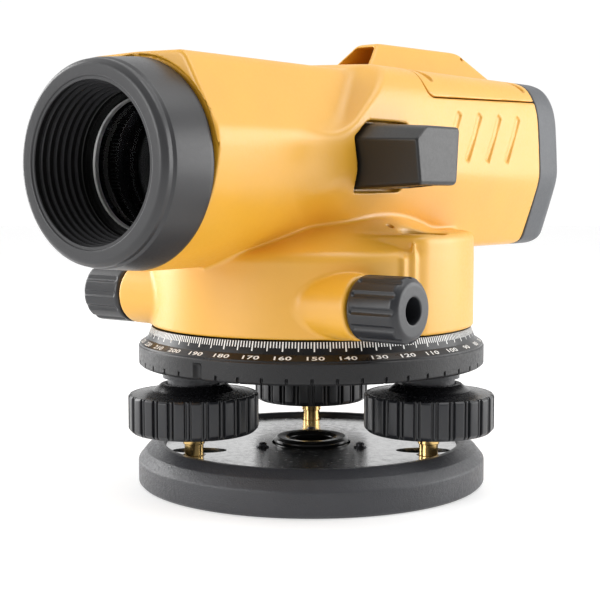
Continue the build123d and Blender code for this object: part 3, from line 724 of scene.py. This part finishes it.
def build_hood():
    """The sunshade: a rolled rim, a bead behind it, a widening wall and stepped rings inside."""
    outside = [(22.9, -96.3), (26.2, -96.3), (27.5, -94.9), (27.5, -93.3), (28.0, -92.4), (29.0, -80.6),
               (29.0, -79.6)]
    radii = [0.5, 1.5, 1.2, 0.6, 0.8, 0.5, 0.2]
    profile = rounded(outside + [(20.4, -79.6)], radii + [0], 6)
    for i in reversed(range(RINGS)):
        r, y = 22.5 - 0.3 * i, FIRST_RING_Y + RING_PITCH * i
        profile += [(r, y + RING_PITCH), (r, y + 0.72), (r - 0.1, y + 0.58), (r - 0.52, y + 0.52),
                    (r - 0.62, y + 0.27), (r - 0.5, y)]

    def zone(r, h):
        """The grooves between the rings get a darker, less glossy copy of the hood's plastic than the
        rings' edges: painted shade in the grooves.
        """
        from_edge = min(abs((h - FIRST_RING_Y - 0.26) - RING_PITCH * i) for i in range(RINGS))
        return 1 if r < 22.6 and from_edge > 0.4 else 0

    piece = lathe("hood", profile, "Y", (0, SIGHT_Z), 224, sharp=30, zones=zone)
    settle(piece, "head", "hood_plastic", [HOOD, HOOD_GROOVE_SHADE], "objective_hood")
    ring = [(18.2, -76.9), (18.5, -77.4), (20.0, -77.4), (20.0, -74.9), (18.8, -74.9), (18.2, -75.6)]

    # The front chamfer carries a painted highlight: pale metal for the bright line its edge shows.
    def front_chamfer(r, h):
        return 1 if r < 18.5 and h < -76.2 else 0

    piece = lathe("retainer", ring, "Y", (0, SIGHT_Z), 192, sharp=30, zones=front_chamfer)
    settle(piece, "head", "chromed", [ANODISED, RETAINER_PAINTED_HIGHLIGHT], "lens_retainer")


def foot_places():
    """Where the three foot screws stand."""
    return [(FOOT_CIRCLE_R * math.cos(math.radians(a)), FOOT_CIRCLE_R * math.sin(math.radians(a)))
            for a in FOOT_ANGLES]


def groove_samples():
    """Places across one pitch of the knob's edge, from land to land, with their depths."""
    half = [(0.0, 0.30), (0.18, 0.34), (0.34, 0.46), (0.46, 0.68), (0.52, 1.0), (0.56, 1.1), (0.98, 1.1),
            (1.06, 1.0), (1.10, 0.28), (1.16, 0.10), (1.28, 0.02), (1.45, 0.0), (2.05, 0.0)]
    return [(-x, d) for x, d in reversed(half[1:])] + half


def foot_grip(name, x, y, turn):
    """A foot screw's knob: flat lands, and in each groove between them a rounded bead."""
    collar = rounded([(3.6, 19.2), (18.7, 19.2), (KNOB_R, 20.6), (KNOB_R, 30.5), (19.5, 31.2),
                      (18.6, 31.15), (12.6, 32.15), (12.1, 32.5), (10.0, 34.2), (8.4, 34.2), (8.4, 25.5),
                      (3.6, 25.5)],
                     [0.2, 1.2, 1.0, 0.5, 0.35, 0.2, 0.2, 0.25, 0.35, 0.3, 0.3, 0.2], 4)
    pitch = 2 * math.pi / KNOB_GROOVES
    across, depths = np.array(groove_samples()).T
    angles = np.concatenate([turn + i * pitch + across / KNOB_R for i in range(KNOB_GROOVES)])
    depths = np.tile(depths, KNOB_GROOVES)[None, :]

    def cut(r, _h, _a):
        return np.where(r > 17.5, np.minimum(r, KNOB_R - depths), r)

    # The top cone takes the glossier, darker copy: the gloss is its finish, the darker colour is painted
    # shade under the circle.
    def top(r, h):
        return 1 if h > 31.0 or (r < 19.4 and h > 30.9) else 0

    return lathe(name, collar, "Z", (x, y), radius=cut, sharp=32, angles=angles, zones=top)


def build_feet():
    """The three foot knobs share one shape; the stems show turned collars."""
    stem = rounded([(0.01, 4.2), (1.2, 4.4), (3.0, 5.6), (4.0, 8.2), (3.3, 10.4), (2.95, 11.4),
                    (2.95, 15.2), (3.35, 15.2), (3.4, 19.3), (3.5, 19.3), (3.5, 36.4), (0.01, 36.4)],
                   [0, 0.4, 1, 1.5, 0.6, 0.4, 0.1, 0.2, 0.1, 0, 0.3, 0], 4)
    for letter, angle, (x, y) in zip("abc", FOOT_ANGLES, foot_places()):
        piece = foot_grip(f"foot_grip_{letter}", x, y, math.radians(angle))
        settle(piece, f"screw_{letter}", "knob_plastic", [KNOB, KNOB_TOP_SHADED], f"foot_knob_{letter}")
        piece = lathe(f"foot_rod_{letter}", stem, "Z", (x, y), 64)
        settle(piece, f"screw_{letter}", "brass", [BRASS], f"foot_stem_{letter}")


def build_base():
    """The crinkle-painted base plate with a cup for each foot, the glossy boss in its middle and
    the spring plate's screws."""
    outer = [(12.2, 1.0), (40, 1.0), (41, 0), (55.0, 0), (55.9, 0.9), (55.9, 7.8), (53.4, 10.9),
             (49.6, 13.1), (47.9, 13.1), (47.3, 12.3), (47.3, 10.4), (44.5, 10.4), (44.5, 4.2), (12.2, 4.2)]
    radii = [0, 0.4, 0.4, 0.7, 0.7, 1.6, 2.0, 0.9, 0.5, 0.3, 0, 0.3, 1.0, 0]
    pan = lathe("base_pan", rounded(outer, radii, 5), "Z", segments=224)
    settle(pan, "base", "black_casting", [CASTING], "base_plate")
    wall = rounded([(5.6, 3.0), (7.4, 3.0), (7.4, 10.3), (5.6, 10.3)], [0, 0, 0.3, 0.3], 3)
    for letter, place in zip("abc", foot_places()):
        cup = lathe(f"base_cup_{letter}", wall, "Z", place, 64)
        settle(cup, "base", "black_casting", [CASTING])
    boss = rounded([(7.1, 0.0), (12.2, 0.0), (12.2, 10.4), (11.6, 11.4), (11.6, 11.9), (12.1, 12.1),
                    (12.1, 12.9), (11.0, 13.7), (8.3, 13.5), (7.1, 12.7)],
                   [0.2, 0.2, 0.3, 0.2, 0.2, 0.25, 0.35, 0.6, 0.5, 0.4], 4)
    threads = []
    for i in range(5):
        z = 11.9 - 2.2 * i
        threads += [(7.1, z), (7.9, z - 0.8), (7.9, z - 1.1), (7.1, z - 1.9)]
    bush = lathe("tripod_boss", boss + threads, "Z", segments=128)
    settle(bush, "base", "black_anodised", [ANODISED], "tripod_bush")
    plate_screw_circle_r = 18.0
    for i in range(3):
        a = math.radians(FOOT_ANGLES[2] + 120 * i)
        build_plate_screw(i, plate_screw_circle_r * math.cos(a), plate_screw_circle_r * math.sin(a))


def build_plate_screw(number, x, y):
    """A small cheese-head screw with a slot, on a thin washer. The first stands for the CAD's
    three."""
    def field(p):
        q = p - np.array([[x], [y], [0.0]])
        rho = np.hypot(q[0], q[1])
        head = smax(smax(rho - 1.35, q[2] - 13.1, 0.45), 11.6 - q[2], 0.1)
        head = smax(head, -slab(q, (-3, -0.28, 12.4), (3, 0.28, 14)), 0.08)
        washer = smax(smax(rho - 2.05, q[2] - 12.0, 0.3), 11.6 - q[2], 0.05)
        return smin(head, washer, 0.15)

    sculpt(f"plate_screw_{number}", field, (x - 2.4, y - 2.4, 11.2), (x + 2.4, y + 2.4, 13.5), 0.12,
           "base", "chromed", [BLACK_STEEL], *(["spring_plate_screws"] if number == 0 else []))


def on_band(band, s):
    """The radius and height a share s of the way up a band of the circle."""
    (r0, z0), (r1, z1) = band
    return r0 + (r1 - r0) * s, z0 + (z1 - z0) * s


def build_circle():
    """The graduated circle: a notched crinkle rim and glossy bands with their marks."""
    points = [(45.8, 38.6), (54.7, 38.2), (55.5, 38.9), (55.5, 44.4), (55.12, 44.75), (55.12, 45.2),
              (52.7, 46.75), (51.3, 50.4), (49.6, 50.4), (48.9, 46.4), (45.8, 46.0)]
    radii = [0.2, 0.3, 0.4, 0.25, 0.1, 0.2, 0.2, 0.2, 0.3, 0.3, 0.2]
    profile = rounded(points, radii, 4)
    edge_r = 54  # the notched edge is everything outside this
    dense = []  # the profile with more points up the notched edge, where a notch has to end
    for a, b in zip(profile, profile[1:] + profile[:1]):
        dense.append(a)
        if a[0] > edge_r and b[0] > edge_r and abs(a[1] - b[1]) > 2:
            dense += [(a[0] + (b[0] - a[0]) * s, a[1] + (b[1] - a[1]) * s)
                      for s in np.linspace(0.08, 0.92, 12)]

    def notches(r, h, a):
        across = in_pitch(a, 2 * math.pi / CIRCLE_NOTCHES) * CIRCLE_R
        depth = half_round(0.48, across) * 1.7 * np.clip((40.3 - h) / 0.25, 0, 1)
        across = in_pitch(a - math.radians(LOCK_ANGLE), 2 * math.pi) * CIRCLE_R
        lock = half_round(1.5, across) * np.clip((43.4 - h) / 0.4, 0, 1)
        return r - np.maximum(depth, lock) * (r > edge_r)

    def zone(r, h):
        return 1 if h > 44.7 and r > 51.2 else 0

    piece = lathe("circle_ring", dense, "Z", segments=CIRCLE_NOTCHES * 30, radius=notches, sharp=45,
                  zones=zone)
    settle(piece, "circle", "circle_plastic", [RIM, BAND], "horizontal_circle")
    build_ticks()
    build_numbers()


def white_marks(name, points, faces):
    """Flat-shaded white marks on the circle."""
    piece = make_mesh(name, np.array(points).T, faces)
    piece.data.polygons.foreach_set("use_smooth", [False] * len(piece.data.polygons))
    settle(piece, "circle", "circle_plastic", [MARKS])


def build_ticks():
    """A tick each degree, longer each five and each ten."""
    sides = ((0, 1, 3, 2), (4, 6, 7, 5), (0, 4, 5, 1), (2, 3, 7, 6), (0, 2, 6, 4), (1, 5, 7, 3))
    points, faces = [], []
    for degree in range(360):
        length = 1.0 if degree % 10 == 0 else 0.76 if degree % 5 == 0 else 0.5
        half = 0.21 if degree % 10 == 0 else 0.17
        a = math.radians(ZERO_ANGLE - degree)
        start = len(points)
        for out in (0.0, MARK_LIFT):
            for s in (1.0 - length, 1.0):
                r, z = on_band(TICK_BAND, s)
                r += out
                for side in (-1, 1):
                    b = a + side * half / r
                    points.append((r * math.cos(b), r * math.sin(b), z))
        for f in sides:
            faces.append([start + i for i in f][::-1])
    white_marks("circle_ticks", points, faces)


def build_numbers():
    """The numbers each ten degrees, wrapped on the sloping band."""
    (r0, z0), (r1, z1) = NUMBER_BAND
    slant = math.hypot(r1 - r0, z1 - z0)
    middle, height, width = 0.44, 0.74, 1.3  # the digits' place on the band and how they are drawn out
    points, faces = [], []
    for degree in range(0, 360, 10):
        text = bpy.data.curves.new("digits", "FONT")
        text.body = str(degree)
        text.align_x, text.align_y = "CENTER", "CENTER"
        text.size = 2.9
        text.offset = 0.055
        text.space_character = 1.05
        text.resolution_u = 4
        holder = bpy.data.objects.new("digits", text)
        bpy.context.scene.collection.objects.link(holder)
        graph = bpy.context.evaluated_depsgraph_get()
        shape = bpy.data.meshes.new_from_object(holder.evaluated_get(graph))
        flat = np.array([v.co for v in shape.vertices]).reshape(-1, 3)
        a = math.radians(ZERO_ANGLE - degree)
        r, z = on_band(NUMBER_BAND, middle + height * flat[:, 1] / slant)
        r, z = r + MARK_LIFT, z + MARK_LIFT
        b = a + width * flat[:, 0] / r
        start = len(points)
        points += list(np.stack([r * np.cos(b), r * np.sin(b), z], 1))
        faces += [[start + i for i in f.vertices] for f in shape.polygons]
        bpy.data.objects.remove(holder)
        bpy.data.meshes.remove(shape)
    white_marks("circle_numbers", points, faces)


def along_x(p, side, y, z):
    """Turns points so that a knob about the X axis stands on its own Z axis."""
    return np.stack([(p[1] - y) * side, p[2] - z, p[0] * side])


def tangent_knob(p):
    """A fluted knob with a chamfered end, bored for its shaft, standing on the Z axis."""
    rho, z = np.hypot(p[0], p[1]), p[2]
    body = smax(rho - 9.44, 44.6 - z, 1.6)
    body = smax(body, plane(np.stack([rho, 0 * rho, z]), (9.44, 0, 59.7), (0.66, 0, 0.75)), 0.5)
    body = smax(body, z - 61.2, 0.5)
    q = folded(p[0], p[1], z, TANGENT_FLUTES)
    body = smax(body, -capsule(q, (9.95, 0, 46.9), (9.95, 0, 70), 1.15), 0.3)
    body = smax(body, -smax(rho - 3.8, 51.0 - z, 0.3), 0.5)
    return smax(body, -(rho - KNOB_BORE_R), 0.2)


def build_tangent():
    """The two fluted knobs of the slow motion."""
    reach = 10.5
    for side, hand in ((1, "left"), (-1, "right")):
        def field(p, side=side):
            return tangent_knob(along_x(p, side, TANGENT_Y, TANGENT_Z))

        x0, x1 = sorted((side * 44.0, side * 61.8))
        sculpt(f"slow_knob_{hand}", field, (x0, TANGENT_Y - reach, TANGENT_Z - reach),
               (x1, TANGENT_Y + reach, TANGENT_Z + reach), fineness(0.26),
               "tangent", "knob_plastic", [KNOB], f"tangent_knob_{hand}")


def build_focus_knob():
    """The focusing knob with soft grooves and a shallow dished face."""
    def field(p):
        q = along_x(p, -1, FOCUS_Y, FOCUS_Z)
        rho, z = np.hypot(q[0], q[1]), q[2]
        body = smax(smax(rho - 16.5, 38.5 - z, 1.2), z - 62.5, 2.6)
        w = folded(q[0], q[1], z, FOCUS_GROOVES)
        body = smax(body, -capsule(w, (16.75, 0, 41.5), (16.75, 0, 70), 0.95), 0.4)
        dish = smax(rho - 12.2, 61.4 - z, 0.6)
        body = smax(body, -dish, 0.8)
        body = smax(body, -smax(rho - 13.5, z - 42.0, 0.5), 0.5)
        return smax(body, -smax(rho - KNOB_BORE_R, z - 60.0, 0.2), 0.2)

    reach = 17.5
    sculpt("focus_grip", field, (-63.2, FOCUS_Y - reach, FOCUS_Z - reach),
           (-38.0, FOCUS_Y + reach, FOCUS_Z + reach), fineness(0.36),
           "focusing", "knob_plastic", [KNOB], "focus_knob")


def build_eyepiece():
    """The ribbed diopter ring and the soft eyecup."""
    def ribs(r, h, a):
        across = in_pitch(a, 2 * math.pi / DIOPTER_RIBS) * DIOPTER_R
        return r - half_round(0.65, across) * 0.85 * (r > 15.0) * (h < 116.2)

    ring = rounded([(12.06, 110.0), (DIOPTER_R, 110.0), (DIOPTER_R, 117.0), (12.06, 117.0)],
                   [0.2, 0.9, 0.9, 0.3], 6)
    piece = lathe("diopter_grip", ring, "Y", (0, SIGHT_Z), DIOPTER_RIBS * 16, radius=ribs, sharp=45)
    settle(piece, "diopter", "knob_plastic", [KNOB], "diopter_ring")
    cup = rounded([(9.6, 115.6), (12.0, 115.6), (12.0, 117.05), (14.8, 117.05), (14.5, 119.5),
                   (12.2, 120.2), (9.6, 118.0)], [0.1, 0, 0, 0.3, 0.9, 0.6, 0.4], 6)
    settle(lathe("eye_rest", cup, "Y", (0, SIGHT_Z), 160), "diopter", "seal_rubber", [RUBBER], "eyecup")


def build_vial():
    """The bubble under the vial's glass."""
    low, high = mm_box("vial_glass")
    x, y = (low[0] + high[0]) / 2, (low[1] + high[1]) / 2
    top = high[2] - 0.25
    dome = rounded([(0.01, top - 0.9), (2.0, top - 0.9), (2.0, top), (0.01, top)], [0, 0.42, 0.42, 0], 6)
    settle(lathe("vial_air", dome, "Z", (x, y), 64), "head", "vial_glass", [BUBBLE])


build_head()
build_cover_screws()
build_hood()
build_feet()
build_base()
build_circle()
build_tangent()
build_focus_knob()
build_eyepiece()
build_vial()

# ---- floor, light and camera ----
CAMERA_AT = (0.25438, -0.33370, 0.09376)
CAMERA_DOWN, CAMERA_TURN = 4.865, 37.316
LENS_MM = 78.07
SHIFT_X = -0.0189
SENSOR_MM = 36.0
FLOOR_R, FLOOR_Z, FLOOR_CORNERS = 3.0, -0.0001, 64  # metres; just under the base, to keep clear of it
FLOOR_GREY, FLOOR_VARY, FLOOR_GLOW = 0.60, 0.005, 0.46
SKY_AXIS = (0.55, -0.83, 0.05)
SKY_FADE = (-0.2, 0.7, 1.02, 0.36)  # along that axis, from behind the level to behind the camera


def build_stage():
    """A pale floor under a bright, plain studio sky."""
    mesh = bpy.data.meshes.new("floor")
    turns = [2 * math.pi * i / FLOOR_CORNERS for i in range(FLOOR_CORNERS)]
    ring = [(FLOOR_R * math.cos(a), FLOOR_R * math.sin(a), FLOOR_Z) for a in turns]
    mesh.from_pydata(ring, [], [list(range(FLOOR_CORNERS))])
    floor = bpy.data.objects.new("floor", mesh)
    bpy.context.scene.collection.objects.link(floor)
    m, tree, shader = node_material("floor_white", (FLOOR_GREY,) * 3, 0.7, Emission_Strength=FLOOR_GLOW,
                                    Emission_Color=(1, 1, 1, 1))
    tint(tree, noise(tree, 3.0, 2.0), (FLOOR_GREY - FLOOR_VARY,) * 3, (FLOOR_GREY + FLOOR_VARY,) * 3,
         shader.inputs["Base Color"])
    floor.data.materials.append(m)

    world = bpy.data.worlds.new("studio")
    world.use_nodes = True
    bpy.context.scene.world = world
    tree = world.node_tree
    back = tree.nodes["Background"]
    back.inputs["Color"].default_value = (1, 1, 1, 1)
    toward = tree.nodes.new("ShaderNodeVectorMath")
    toward.operation = "DOT_PRODUCT"
    toward.inputs[1].default_value = SKY_AXIS
    tree.links.new(tree.nodes.new("ShaderNodeTexCoord").outputs["Generated"], toward.inputs[0])
    fade = map_range(tree, toward.outputs["Value"], *SKY_FADE)
    fade.interpolation_type = "SMOOTHSTEP"
    tree.links.new(fade.outputs["Result"], back.inputs["Strength"])


def area_light(name, at, target, width, height, power):
    """A soft rectangular light aimed at a point."""
    light = bpy.data.lights.new(name, "AREA")
    light.shape = "RECTANGLE"
    light.size, light.size_y = width, height
    light.energy = power
    lamp = bpy.data.objects.new(name, light)
    bpy.context.scene.collection.objects.link(lamp)
    lamp.location = at
    lamp.rotation_euler = (Vector(target) - Vector(at)).to_track_quat("-Z", "Y").to_euler()


def build_camera():
    """The camera at the picture's place."""
    data = bpy.data.cameras.new("camera")
    data.lens = LENS_MM
    data.sensor_width = SENSOR_MM
    data.shift_x = SHIFT_X
    camera = bpy.data.objects.new("camera", data)
    bpy.context.scene.collection.objects.link(camera)
    camera.location = CAMERA_AT
    camera.rotation_euler = (math.radians(90 - CAMERA_DOWN), 0, math.radians(CAMERA_TURN))
    bpy.context.scene.camera = camera


build_stage()
area_light("back_right", (0.60, 0.56, 0.22), (0, 0, 0.09), 0.70, 0.55, 4.3)
area_light("back_left", (-0.72, -0.12, 0.26), (0, 0, 0.09), 0.35, 0.60, 3.6)
area_light("top", (0.30, 0.15, 0.90), (0, 0, 0.08), 0.6, 0.6, 2.8)
area_light("front", (-0.28, -0.90, 0.34), (0, 0, 0.09), 0.50, 0.45, 4.0)
build_camera()
bpy.context.scene.view_settings.view_transform = "Standard"
